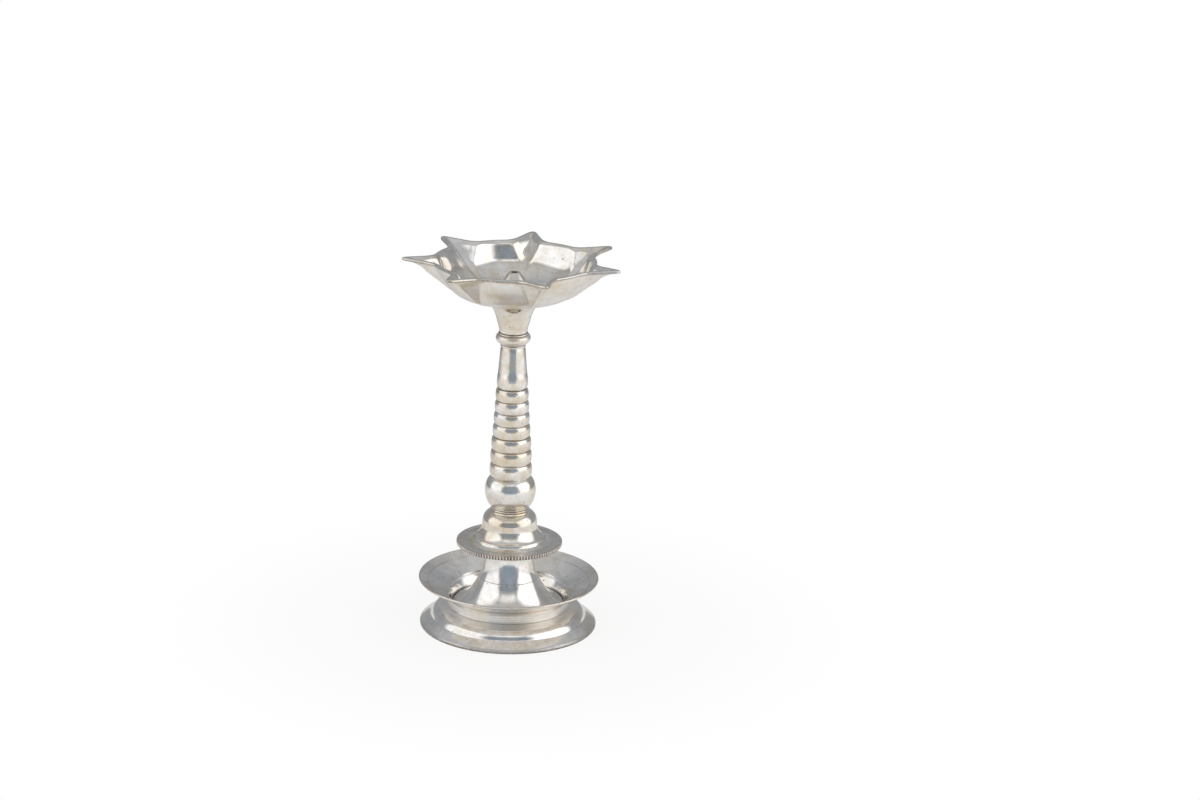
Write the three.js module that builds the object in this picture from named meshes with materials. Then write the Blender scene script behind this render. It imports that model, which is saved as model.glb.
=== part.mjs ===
// Standing oil lamp with a seven-spouted bowl, in millimetres, +Z up.
// Z is the lamp's axis and z = 0 is the surface it stands on.
import * as THREE from 'three';

// Radii of the foot, the tray and the bell
const FOOT_RADIUS = 44.0;
const TRAY_RADIUS = 44.9;
const WELL_RADIUS = 30.1;
const BELL_GAP = 1.2;
const BELL_SEAM_RADIUS = 14.8;
const BELL_TOP_RADIUS = 11.6;

// Radii along the stem
const DISC_RADIUS = 26.3;
const CUP_FOOT_RADIUS = 20.6;
const CUP_RADIUS = 13.6;
const NECK_RADIUS = 9.4;
const BALL_RADIUS = 12.6;
const LOWEST_RING_RADIUS = 10.5;
const MIDDLE_RING_RADIUS = 9.85;
const UPPER_RING_RADIUS = 9.3;
const HIGHEST_RING_RADIUS = 8.1;
const RING_GROOVE = 1.05;
const TAPER_RADIUS = 7.6;
const WAIST_RADIUS = 5.9;
const COLLAR_RADIUS = 8.5;
const SOCKET_FOOT_RADIUS = 6.7;
const SOCKET_RADIUS = 12.8;

// Bowl and cone
const SPOUTS = 7;
const FIRST_SPOUT_ANGLE = 0.5069;
const TIP_RADIUS = 54.6;
const RIM_RADIUS = 39.9;
const BOWL_SEAT_RADIUS = 13.4;
const CONE_RADIUS = 12.4;
const CONE_TIP_RADIUS = 2.6;
const WICK_HOLE_RADIUS = 1.3;

// Heights, from the ground up
const FOOT_EDGE_HEIGHT = 1.2;
const FOOT_HEIGHT = 10.0;
const WELL_HEIGHT = 4.2;
const TRAY_HEIGHT = 14.8;
const FLARE_HEIGHT = 14.0;
const BELL_NECK_HEIGHT = 16.6;
const WASHER_HEIGHT = 0.6;
const DISC_HEIGHT = 1.7;
const CUP_HEIGHT = 16.3;
const NECK_RING_HEIGHT = 2.1;
const BALL_HEIGHT = 15.1;
const LOWER_RINGS_HEIGHT = 20.6;
const UPPER_RINGS_HEIGHT = 24.8;
const TAPER_HEIGHT = 22.4;
const COLLAR_HEIGHT = 6.0;
const SOCKET_HEIGHT = 16.0;
const BOWL_HEIGHT = 19.6;
const TIP_RISE = 1.1;
const CONE_HEIGHT = 11.1;

// Walls
const DECK_THICKNESS = 1.3;
const FOOT_WALL = 1.2;
const PLATE_THICKNESS = 1.0;
const TRAY_WALL = 1.1;
const TRAY_FLOOR = 1.0;
const BELL_WALL = 1.4;
const BELL_TOP_THICKNESS = 1.2;
const BOWL_WALL = 2.0;
const BOWL_FLOOR = 1.8;

// Screwed joints
const PLAY = 0.3;
const ROD_RADIUS = 3.0;
const BORE_RADIUS = ROD_RADIUS + 0.4;
const ROD_ENGAGEMENT = 7.0;
const NUT_RADIUS = 5.6;
const RECESS_RADIUS = NUT_RADIUS + 2 * PLAY;
const LOWER_NUT_HEIGHT = 3.1;
const UPPER_NUT_HEIGHT = 3.5;
const CONE_CAP = 4.3;
const BOLT_HEAD_RADIUS = 6.0;
const BOLT_HEAD_HEIGHT = 4.5;
const BOLT_WASHER_HEIGHT = 0.8;
const BOLT_BORE_RADIUS = 0.6;

// Levels that follow from the heights
const TRAY_FLOOR_Z = FOOT_HEIGHT + TRAY_FLOOR;
const SEAM_Z = TRAY_FLOOR_Z + FLARE_HEIGHT;
const BELL_TOP_Z = SEAM_Z + BELL_NECK_HEIGHT;
const DISC_BOTTOM_Z = BELL_TOP_Z + WASHER_HEIGHT;
const DISC_TOP_Z = DISC_BOTTOM_Z + DISC_HEIGHT;
const CUP_TOP_Z = DISC_TOP_Z + CUP_HEIGHT;
const BALL_BOTTOM_Z = CUP_TOP_Z + NECK_RING_HEIGHT;
const LOWER_RINGS_Z = BALL_BOTTOM_Z + BALL_HEIGHT;
const UPPER_RINGS_Z = LOWER_RINGS_Z + LOWER_RINGS_HEIGHT;
const TAPER_Z = UPPER_RINGS_Z + UPPER_RINGS_HEIGHT;
const COLLAR_Z = TAPER_Z + TAPER_HEIGHT;
const SOCKET_Z = COLLAR_Z + COLLAR_HEIGHT;
const SOCKET_TOP_Z = SOCKET_Z + SOCKET_HEIGHT;
const BOWL_BOTTOM_Z = SOCKET_TOP_Z + WASHER_HEIGHT;
const BOWL_FLOOR_Z = BOWL_BOTTOM_Z + BOWL_FLOOR;
const CONE_BASE_Z = BOWL_FLOOR_Z + WASHER_HEIGHT;
const CONE_TOP_Z = CONE_BASE_Z + CONE_HEIGHT;
const ROD_BOTTOM_Z = BELL_TOP_Z - ROD_ENGAGEMENT;
const ROD_TOP_Z = CONE_TOP_Z - CONE_CAP;

const SEGMENTS_LARGE = 40;
const SEGMENTS_STEM = 28;
const SEGMENTS_SMALL = 20;

const silver = new THREE.MeshStandardMaterial({ color: 0xd9d5cc, roughness: 0.2, metalness: 1.0 });
const worn = new THREE.MeshStandardMaterial({ color: 0xcfc4ad, roughness: 0.32, metalness: 1.0 });
const steel = new THREE.MeshStandardMaterial({ color: 0xa9a9a6, roughness: 0.4, metalness: 1.0 });
const gasket = new THREE.MeshStandardMaterial({ color: 0x4a4038, roughness: 0.8, metalness: 0.0 });

const lamp = new THREE.Group();

function add(name, geometry, material) {
  const mesh = new THREE.Mesh(geometry, material);
  mesh.name = name;
  lamp.add(mesh);
  return mesh;
}

function mix(from, to, share) {
  return from + (to - from) * share;
}

// Outline points [radius, height] from shares of the way between two radii and two levels.
function between(innerRadius, outerRadius, bottom, top, shares) {
  return shares.map(([r, z]) => [mix(innerRadius, outerRadius, r), mix(bottom, top, z)]);
}

// A solid turned from a profile whose two ends lie on the axis.
function turnedSolid(profile, segments) {
  const points = profile.map(([r, z]) => new THREE.Vector2(r, z));
  const geometry = new THREE.LatheGeometry(points, segments);
  geometry.rotateX(Math.PI / 2);
  return geometry;
}

// A ring-shaped solid turned from a profile that closes on itself.
function turned(profile, segments) {
  return turnedSolid([...profile, profile[0]], segments);
}

// A flat ring between two radii and two levels.
function washer(inner, outer, bottom, top) {
  return turned([[inner, bottom], [outer, bottom], [outer, top], [inner, top]], SEGMENTS_SMALL);
}

// A six-sided nut with a round bore for the rod.
function hexNut(radius, bottom, height) {
  const outline = new THREE.Shape();
  for (let corner = 0; corner < 6; corner += 1) {
    const angle = (corner * Math.PI) / 3;
    const x = radius * Math.cos(angle);
    const y = radius * Math.sin(angle);
    if (corner === 0) outline.moveTo(x, y);
    else outline.lineTo(x, y);
  }
  outline.closePath();
  const bore = new THREE.Path();
  bore.absarc(0, 0, BORE_RADIUS, 0, 2 * Math.PI, true);
  outline.holes.push(bore);
  const options = { depth: height, bevelEnabled: false, curveSegments: 24 };
  const geometry = new THREE.ExtrudeGeometry(outline, options);
  geometry.translate(0, 0, bottom);
  return geometry;
}

// Rounded rings one above another: each has its top at a share of the height.
function rings(bottom, height, topShares, lowCrown, highCrown) {
  const points = [];
  topShares.forEach((share, index) => {
    const low = bottom + height * (index === 0 ? 0 : topShares[index - 1]);
    const high = bottom + height * share;
    const crown = mix(lowCrown, highCrown, index / (topShares.length - 1));
    const groove = crown - RING_GROOVE;
    points.push(...between(groove, crown, low, high, [[0, 0], [0.72, 0.2], [1, 0.5], [0.72, 0.8]]));
  });
  points.push([highCrown - RING_GROOVE - 0.2, bottom + height]);
  return points;
}

// A stem section: its outer profile from bottom to top, bored for the rod.
function stemSection(outer) {
  const bottom = outer[0][1];
  const top = outer[outer.length - 1][1];
  return turned([[BORE_RADIUS, bottom], ...outer, [BORE_RADIUS, top]], SEGMENTS_STEM);
}

function addFoot() {
  const neck = WELL_RADIUS - 0.2;
  const underDeck = FOOT_HEIGHT - DECK_THICKNESS;
  const inside = FOOT_RADIUS - FOOT_WALL;
  const skirt = turned([
    [FOOT_RADIUS - 0.3, 0],
    [FOOT_RADIUS, 0.4],
    [FOOT_RADIUS, FOOT_EDGE_HEIGHT],
    ...between(neck, FOOT_RADIUS, FOOT_EDGE_HEIGHT, FOOT_HEIGHT, [
      [0.95, 0.091], [0.84, 0.21], [0.73, 0.324], [0.631, 0.438],
      [0.539, 0.557], [0.461, 0.67], [0.39, 0.778], [0.319, 0.852],
      [0.22, 0.881], [0.021, 0.881], [0, 1],
    ]),
    [BORE_RADIUS, FOOT_HEIGHT],
    [BORE_RADIUS, underDeck],
    ...between(neck - FOOT_WALL, inside, FOOT_EDGE_HEIGHT, underDeck, [
      [0, 1], [0.057, 0.86], [0.319, 0.84], [0.447, 0.707],
      [0.567, 0.507], [0.709, 0.293], [0.872, 0.1], [1, 0.013],
    ]),
    [inside, 0],
  ], SEGMENTS_LARGE);
  add('foot_skirt', skirt, silver);

  const plateRadius = inside - PLAY;
  const plate = [[0, 0], [plateRadius, 0], [plateRadius, PLATE_THICKNESS], [0, PLATE_THICKNESS]];
  add('foot_plate', turnedSolid(plate, SEGMENTS_LARGE), worn);
}

function addTray() {
  const wellTop = FOOT_HEIGHT + WELL_HEIGHT;
  const lipTop = FOOT_HEIGHT + TRAY_HEIGHT;
  const wellInside = WELL_RADIUS - TRAY_WALL;
  const tray = turned([
    [BORE_RADIUS, FOOT_HEIGHT],
    [WELL_RADIUS - 0.4, FOOT_HEIGHT],
    [WELL_RADIUS, FOOT_HEIGHT + 0.4],
    ...between(WELL_RADIUS, TRAY_RADIUS, wellTop, lipTop - 0.4, [
      [0, 0], [0.054, 0.157], [0.169, 0.275], [0.412, 0.461], [0.709, 0.696], [0.98, 0.931], [1, 1],
    ]),
    ...between(wellInside, TRAY_RADIUS - 0.5, wellTop, lipTop, [
      [1, 1], [0.714, 0.755], [0.416, 0.519], [0.182, 0.34], [0.065, 0.198], [0, 0],
    ]),
    [wellInside - 0.1, TRAY_FLOOR_Z + 0.7],
    [wellInside - 0.6, TRAY_FLOOR_Z],
    [BORE_RADIUS, TRAY_FLOOR_Z],
  ], SEGMENTS_LARGE);
  add('drip_tray', tray, silver);
}

function addBell() {
  const footRadius = WELL_RADIUS - TRAY_WALL - 0.6 - BELL_GAP;
  const flare = turned([
    [footRadius - 1.8, TRAY_FLOOR_Z],
    [footRadius, TRAY_FLOOR_Z],
    ...between(BELL_SEAM_RADIUS, footRadius, TRAY_FLOOR_Z + 0.6, SEAM_Z, [
      [1, 0], [0.774, 0.09], [0.548, 0.246], [0.363, 0.433], [0.21, 0.627], [0.097, 0.806], [0, 1],
    ]),
    ...between(BELL_SEAM_RADIUS - BELL_WALL, footRadius - 1.8, TRAY_FLOOR_Z, SEAM_Z, [
      [0, 1], [0.1, 0.779], [0.233, 0.593], [0.408, 0.4], [0.617, 0.207], [0.85, 0.064],
    ]),
  ], SEGMENTS_LARGE);
  add('bell_flare', flare, silver);

  const underTop = BELL_TOP_Z - BELL_TOP_THICKNESS;
  const neck = turned([
    ...between(BELL_TOP_RADIUS, BELL_SEAM_RADIUS, SEAM_Z, BELL_TOP_Z, [
      [1, 0], [0.625, 0.169], [0.281, 0.398], [0.094, 0.639], [0, 1],
    ]),
    [BORE_RADIUS, BELL_TOP_Z],
    [BORE_RADIUS, underTop],
    ...between(BELL_TOP_RADIUS - BELL_WALL, BELL_SEAM_RADIUS - BELL_WALL - 0.1, SEAM_Z, underTop, [
      [0, 1], [0.097, 0.675], [0.29, 0.416], [0.613, 0.162], [1, 0],
    ]),
  ], SEGMENTS_LARGE);
  add('bell_neck', neck, silver);
  add('bell_boss', washer(BORE_RADIUS, BELL_TOP_RADIUS - BELL_WALL - 1.6, SEAM_Z + 1, underTop), steel);
}

// The bolt under the foot deck that draws the foot, the tray and the bell together.
function addClamp() {
  const underDeck = FOOT_HEIGHT - DECK_THICKNESS;
  const headTop = underDeck - BOLT_WASHER_HEIGHT;
  const boltTop = ROD_BOTTOM_Z - 4 * PLAY;
  const bolt = turned([
    [BOLT_BORE_RADIUS, headTop - BOLT_HEAD_HEIGHT],
    [BOLT_HEAD_RADIUS, headTop - BOLT_HEAD_HEIGHT],
    [BOLT_HEAD_RADIUS, headTop],
    [ROD_RADIUS, headTop],
    [ROD_RADIUS, boltTop],
    [BOLT_BORE_RADIUS, boltTop],
  ], SEGMENTS_SMALL);
  add('clamp_bolt', bolt, steel);
  add('clamp_washer', washer(BORE_RADIUS, 1.5 * BOLT_HEAD_RADIUS, headTop, underDeck), steel);
}

function addDiscAndCup() {
  add('stem_washer', washer(BORE_RADIUS, BELL_TOP_RADIUS - 1.6, BELL_TOP_Z, DISC_BOTTOM_Z), gasket);

  const disc = turned([
    [RECESS_RADIUS, DISC_BOTTOM_Z],
    [DISC_RADIUS - 0.2, DISC_BOTTOM_Z],
    [DISC_RADIUS, DISC_BOTTOM_Z + 0.3],
    [DISC_RADIUS, DISC_TOP_Z - 0.2],
    [DISC_RADIUS - 0.3, DISC_TOP_Z],
    [DISC_RADIUS - 1.7, DISC_TOP_Z - 0.25],
    [CUP_FOOT_RADIUS + 0.2, DISC_TOP_Z],
    [RECESS_RADIUS, DISC_TOP_Z],
  ], SEGMENTS_LARGE);
  add('milled_disc', disc, silver);

  const shoulderZ = mix(DISC_TOP_Z, CUP_TOP_Z, 0.558);
  const recessTop = DISC_TOP_Z + LOWER_NUT_HEIGHT + 2 * PLAY;
  const cup = turned([
    [RECESS_RADIUS, DISC_TOP_Z],
    ...between(CUP_RADIUS, CUP_FOOT_RADIUS, DISC_TOP_Z, shoulderZ, [
      [1, 0], [0.8, 0.121], [0.629, 0.22], [0.486, 0.253], [0.257, 0.407], [0.071, 0.67],
    ]),
    ...between(NECK_RADIUS, CUP_RADIUS, shoulderZ, CUP_TOP_Z, [
      [1, 0], [0.929, 0.306], [0.738, 0.639], [0.429, 0.833], [0.19, 0.917], [0, 1],
    ]),
    [BORE_RADIUS, CUP_TOP_Z],
    [BORE_RADIUS, recessTop],
    [RECESS_RADIUS, recessTop],
  ], SEGMENTS_STEM + 4);
  add('stepped_cup', cup, silver);
}

function addBallAndRings() {
  const neckRing = stemSection([
    [NECK_RADIUS - 0.1, CUP_TOP_Z],
    [NECK_RADIUS + 0.2, mix(CUP_TOP_Z, BALL_BOTTOM_Z, 0.333)],
    [NECK_RADIUS - 0.4, mix(CUP_TOP_Z, BALL_BOTTOM_Z, 0.571)],
    [NECK_RADIUS, BALL_BOTTOM_Z],
  ]);
  add('neck_ring', neckRing, silver);

  const ballSection = stemSection([
    ...between(0, BALL_RADIUS, BALL_BOTTOM_Z, LOWER_RINGS_Z, [
      [0.77, 0], [0.881, 0.126], [0.96, 0.285], [1, 0.523], [0.968, 0.722], [0.881, 0.901],
    ]),
    ...rings(LOWER_RINGS_Z, LOWER_RINGS_HEIGHT, [0.345, 0.68, 1], LOWEST_RING_RADIUS, MIDDLE_RING_RADIUS),
  ]);
  add('ball_section', ballSection, silver);

  const ringShares = [0.262, 0.508, 0.75, 1];
  const ringSection = stemSection(
    rings(UPPER_RINGS_Z, UPPER_RINGS_HEIGHT, ringShares, UPPER_RING_RADIUS, HIGHEST_RING_RADIUS),
  );
  add('ring_section', ringSection, silver);
}

function addTaperAndSocket() {
  const taper = stemSection(between(WAIST_RADIUS, TAPER_RADIUS, TAPER_Z, COLLAR_Z, [
    [0.471, 0], [0.824, 0.049], [1, 0.134], [0.941, 0.241], [0.706, 0.375],
    [0.529, 0.522], [0.353, 0.723], [0.118, 0.902], [0, 0.964], [0.118, 1],
  ]));
  add('tapered_shaft', taper, silver);

  const collar = stemSection(between(WAIST_RADIUS + 0.1, COLLAR_RADIUS, COLLAR_Z, SOCKET_Z, [
    [0, 0], [0.52, 0.183], [0.92, 0.383], [1, 0.6], [0.8, 0.8], [0.4, 0.9], [0.28, 1],
  ]));
  add('collar_ring', collar, silver);

  const recessFloor = SOCKET_TOP_Z - UPPER_NUT_HEIGHT - 3 * PLAY;
  const socket = turned([
    [BORE_RADIUS, SOCKET_Z],
    ...between(SOCKET_FOOT_RADIUS, SOCKET_RADIUS, SOCKET_Z, SOCKET_TOP_Z, [
      [0, 0], [0.066, 0.1375], [0.213, 0.35], [0.344, 0.5375],
      [0.459, 0.675], [0.656, 0.8125], [0.967, 0.95], [1, 1],
    ]),
    [RECESS_RADIUS, SOCKET_TOP_Z],
    [RECESS_RADIUS, recessFloor],
    [BORE_RADIUS, recessFloor],
  ], SEGMENTS_STEM);
  add('flared_socket', socket, silver);
}

function addRodAndNuts() {
  const rod = [
    [0, ROD_BOTTOM_Z],
    [ROD_RADIUS - 0.4, ROD_BOTTOM_Z],
    [ROD_RADIUS, ROD_BOTTOM_Z + 0.4],
    [ROD_RADIUS, ROD_TOP_Z - 0.4],
    [ROD_RADIUS - 0.4, ROD_TOP_Z],
    [0, ROD_TOP_Z],
  ];
  add('stem_rod', turnedSolid(rod, SEGMENTS_SMALL), steel);
  add('lower_nut', hexNut(NUT_RADIUS, DISC_TOP_Z + PLAY, LOWER_NUT_HEIGHT), steel);
  add('upper_nut', hexNut(NUT_RADIUS, SOCKET_TOP_Z - UPPER_NUT_HEIGHT - 2 * PLAY, UPPER_NUT_HEIGHT), steel);
}

// One row of the bowl: shares of the rim's radius, of the spout's reach past the wall, of the height
// between two levels and of the tip's rise, then the spout's half angle and how far in the row is set.
function bowlRow(wall, reach, floorZ, height, rise, halfAngle, inset) {
  const wallRadius = wall * RIM_RADIUS - inset;
  const wallZ = mix(floorZ, BOWL_BOTTOM_Z + BOWL_HEIGHT, height);
  const ridgeRadius = wallRadius + reach * (TIP_RADIUS - RIM_RADIUS);
  return { wallRadius, wallZ, ridgeRadius, ridgeZ: wallZ + rise * TIP_RISE, halfAngle };
}

function roundRow(radius, z) {
  return { wallRadius: radius, wallZ: z, ridgeRadius: radius, ridgeZ: z, halfAngle: 0.16 };
}

const outerShares = [
  [0.657, 0.014, 0.122, 0, 0.06],
  [0.747, 0.054, 0.235, 0.09, 0.055],
  [0.837, 0.19, 0.449, 0, 0.1],
  [0.922, 0.395, 0.684, 0.18, 0.15],
  [0.975, 0.633, 0.867, 0.73, 0.188],
  [0.9975, 0.912, 0.964, 0.55, 0.203],
  [1, 1, 1, 1, 0.203],
];

const innerShares = [
  [1, 0.864, 1, 1, 0.172],
  [0.962, 0.599, 0.832, 0.73, 0.155],
  [0.907, 0.354, 0.607, 0.55, 0.12],
  [0.832, 0.163, 0.393, 0.27, 0.08],
  [0.757, 0.041, 0.236, 0.09, 0.045],
  [0.692, 0.014, 0.135, 0, 0.06],
];

function bowlRows() {
  const floorEdge = 0.5 * RIM_RADIUS;
  const outer = outerShares.map(([wall, reach, height, rise, halfAngle]) => (
    bowlRow(wall, reach, BOWL_BOTTOM_Z, height, rise, halfAngle, 0)
  ));
  const inner = innerShares.map(([wall, reach, height, rise, halfAngle]) => (
    bowlRow(wall, reach, BOWL_FLOOR_Z, height, rise, halfAngle, BOWL_WALL)
  ));
  return [
    roundRow(BORE_RADIUS, BOWL_BOTTOM_Z),
    roundRow(BOWL_SEAT_RADIUS, BOWL_BOTTOM_Z),
    roundRow(floorEdge, BOWL_BOTTOM_Z + 0.9),
    ...outer,
    ...inner,
    roundRow(floorEdge, BOWL_FLOOR_Z + 0.9),
    roundRow(CONE_RADIUS + 4 * PLAY, BOWL_FLOOR_Z),
    roundRow(BORE_RADIUS, BOWL_FLOOR_Z),
  ];
}

// Places one column of a row: columns -2 to 2 cross a spout, columns 3 to 5 follow the wall after it.
function bowlPoint(row, spout, column, target) {
  const sectorAngle = (2 * Math.PI) / SPOUTS;
  const centre = FIRST_SPOUT_ANGLE + spout * sectorAngle;
  if (column > 2) {
    const along = (column - 2) / 4;
    const angle = centre + row.halfAngle + along * (sectorAngle - 2 * row.halfAngle);
    return target.set(row.wallRadius * Math.cos(angle), row.wallRadius * Math.sin(angle), row.wallZ);
  }
  const kink = row.halfAngle * Math.sign(column);
  const x = row.wallRadius * Math.cos(kink);
  const y = row.wallRadius * Math.sin(kink);
  target.set(row.ridgeRadius, 0, row.ridgeZ);
  target.lerp(new THREE.Vector3(x, y, row.wallZ), Math.abs(column) / 2);
  return target.applyAxisAngle(new THREE.Vector3(0, 0, 1), centre);
}

// The bowl starts as a turned ring, and each of its vertices moves to its place on the star.
function addBowl() {
  const columns = 8;
  const segments = SPOUTS * columns;
  const rows = bowlRows();
  const points = [...rows, rows[0]].map((row) => new THREE.Vector2(row.wallRadius, row.wallZ));
  const geometry = new THREE.LatheGeometry(points, segments);
  const position = geometry.getAttribute('position');
  const target = new THREE.Vector3();
  for (let step = 0; step <= segments; step += 1) {
    const column = step % columns;
    const spout = Math.floor(step / columns) % SPOUTS;
    for (let k = 0; k < points.length; k += 1) {
      const row = rows[k % rows.length];
      if (column > 5) {
        bowlPoint(row, (spout + 1) % SPOUTS, column - columns, target);
      } else {
        bowlPoint(row, spout, column, target);
      }
      position.setXYZ(step * points.length + k, target.x, target.y, target.z);
    }
  }
  geometry.computeVertexNormals();
  add('oil_bowl', geometry, silver);
  add('bowl_washer', washer(BORE_RADIUS, SOCKET_RADIUS - 1.8, SOCKET_TOP_Z, BOWL_BOTTOM_Z), gasket);
}

function addCone() {
  add('cone_washer', washer(BORE_RADIUS, CONE_RADIUS - 0.6, BOWL_FLOOR_Z, CONE_BASE_Z), gasket);

  const roofZ = ROD_TOP_Z + 0.8;
  const cone = turned([
    [BORE_RADIUS, CONE_BASE_Z],
    [CONE_RADIUS - 0.2, CONE_BASE_Z],
    [CONE_RADIUS, CONE_BASE_Z + 0.5],
    ...between(CONE_TIP_RADIUS, CONE_RADIUS, CONE_BASE_Z, CONE_TOP_Z, [
      [0.449, 0.577], [0.031, 0.973], [0, 1],
    ]),
    [WICK_HOLE_RADIUS, CONE_TOP_Z],
    [WICK_HOLE_RADIUS, roofZ],
    [BORE_RADIUS, roofZ],
  ], SEGMENTS_STEM - 4);
  add('wick_cone', cone, silver);
}

addFoot();
addTray();
addBell();
addClamp();
addDiscAndCup();
addBallAndRings();
addTaperAndSocket();
addRodAndNuts();
addBowl();
addCone();

export default lamp;
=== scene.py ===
import math

import bmesh
import bpy
from mathutils import Matrix, Vector


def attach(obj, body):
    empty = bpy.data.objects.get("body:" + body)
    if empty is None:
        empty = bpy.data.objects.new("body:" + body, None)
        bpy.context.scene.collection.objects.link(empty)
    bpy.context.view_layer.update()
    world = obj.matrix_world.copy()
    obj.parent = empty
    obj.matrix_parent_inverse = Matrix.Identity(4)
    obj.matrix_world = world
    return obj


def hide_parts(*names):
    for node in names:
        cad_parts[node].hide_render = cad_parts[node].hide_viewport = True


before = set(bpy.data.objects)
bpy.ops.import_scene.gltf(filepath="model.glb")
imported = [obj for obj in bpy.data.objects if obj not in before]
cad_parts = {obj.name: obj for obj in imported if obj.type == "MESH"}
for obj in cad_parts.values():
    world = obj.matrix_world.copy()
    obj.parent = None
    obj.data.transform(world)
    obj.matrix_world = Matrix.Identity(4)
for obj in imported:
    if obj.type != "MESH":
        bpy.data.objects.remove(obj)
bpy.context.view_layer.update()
mm = 0.001
print("stage: frame loaded with", len(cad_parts), "nodes")


# Colours are written as sRGB hex and turned to linear here.
def toLinear(hexColour):
    channels = [int(hexColour[i:i + 2], 16) / 255 for i in (1, 3, 5)]
    return [c / 12.92 if c <= 0.04045 else ((c + 0.055) / 1.055) ** 2.4 for c in channels] + [1.0]


def mix(a, b, share):
    return a + (b - a) * share


def ramp(value, low, high):
    share = min(1.0, max(0.0, (value - low) / (high - low)))
    return share * share * (3 - 2 * share)


# Adds a node: inputs are its sockets, by name or place, each given a value, a socket or a node to link.
def addNode(tree, kind, inputs, **settings):
    node = tree.nodes.new("ShaderNode" + kind)
    for name, value in settings.items():
        setattr(node, name, value)
    for socket, value in inputs.items():
        if isinstance(value, bpy.types.Node):
            value = next(output for output in value.outputs if output.enabled)
        if isinstance(value, bpy.types.NodeSocket):
            tree.links.new(value, node.inputs[socket])
        else:
            node.inputs[socket].default_value = value
    return node


def newMaterial(name):
    material = bpy.data.materials.new(name)
    material.use_nodes = True
    material.node_tree.nodes.clear()
    return material, material.node_tree


# Silver-plated brass, spun, turned or cast, then buffed by hand. It mirrors the room almost sharply,
# wanders in tone from cool white to straw where it has tarnished, shows brass on rubbed edges, and holds
# dark polish in its joints. Sizes are in millimetres.
silverLook = {
    "silver": "#f1eeea",
    "grey": "#d8d5d1",
    "tarnish": "#dbc7a2",
    "brass": "#b48a58",
    "residue": "#4a3826",
    "patchAcross": 26,
    "mottleAcross": 5,
    "mottleShare": 0.3,       # how far the mottle breaks up the patches
    "greyShare": 0.7,
    "crumblesPerMm": 1.6,     # the grain in which edges wear and joints hold polish
    "pitsPerMm": 0.9,
    "waveAcross": 12,         # the buffing wheel leaves long low waves
    "turnedLine": 0.22,       # real turned lines are about 0.05 apart, drawn coarser so that they show
    "scratchAcross": 0.35,    # real hairlines are about 0.02 wide, drawn coarser so that they show
    "scratchLong": 9,
    "scratchDeep": 0.003,
    "scratchTurns": (0.5, -0.9),
    "scratchRough": 0.06,     # what a scratch, dirt and bare brass add to the roughness
    "dirtRough": 0.4,
    "brassRough": 0.15,
}


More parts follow.
